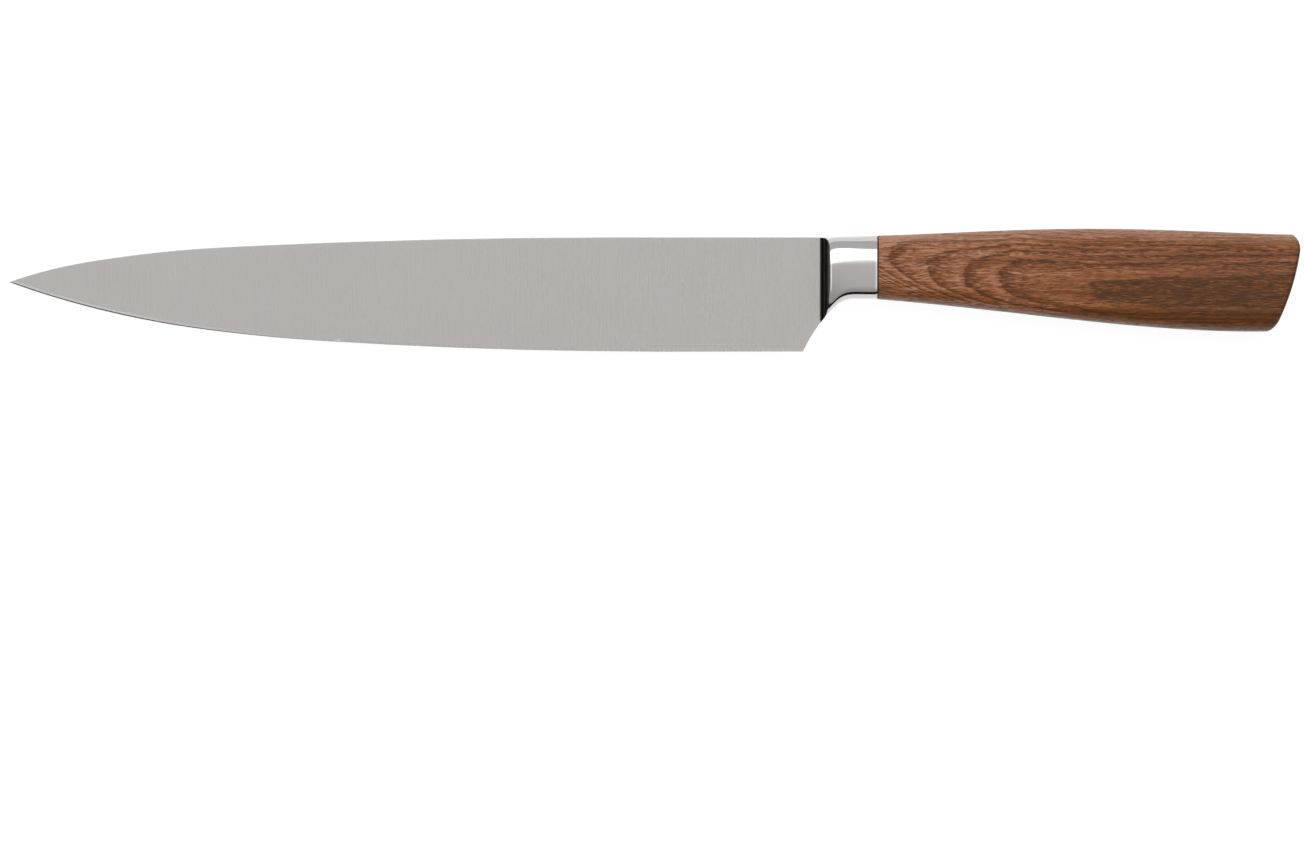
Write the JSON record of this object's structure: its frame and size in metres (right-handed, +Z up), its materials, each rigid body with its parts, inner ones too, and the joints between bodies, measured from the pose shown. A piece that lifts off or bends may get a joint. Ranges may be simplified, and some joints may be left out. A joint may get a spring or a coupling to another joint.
{
  "type": "carving knife",
  "caption": "Carving knife with a long, slender pointed blade, polished half bolster and walnut handle over a hidden tang.",
  "frame": {"origin": "on the surface that the knife lies on, under the middle of its whole length and height", "axes": "+X from the tip to the butt along the knife, +Y from the cutting edge towards the spine, +Z up, square to the middle plane of the blade, out of its left side"},
  "size_m": [0.3302, 0.0314, 0.0175],
  "materials": {
    "blade_steel": "satin, brushed across the blade from spine to edge; the bolster is polished bright",
    "spacer_fibre": "dark brown vulcanised fibre, matt",
    "handle_wood": "oiled walnut, fine open pores along the handle",
    "adhesive": "cured epoxy, amber",
    "pin_steel": "plain drawn steel"
  },
  "bodies": {
    "root": {"blade": "blade_steel", "handle_spacer": "spacer_fibre", "left_handle_half": "handle_wood", "right_handle_half": "handle_wood", "tang_adhesive": "adhesive", "hidden_pins": "pin_steel"}
  },
  "joints": []
}
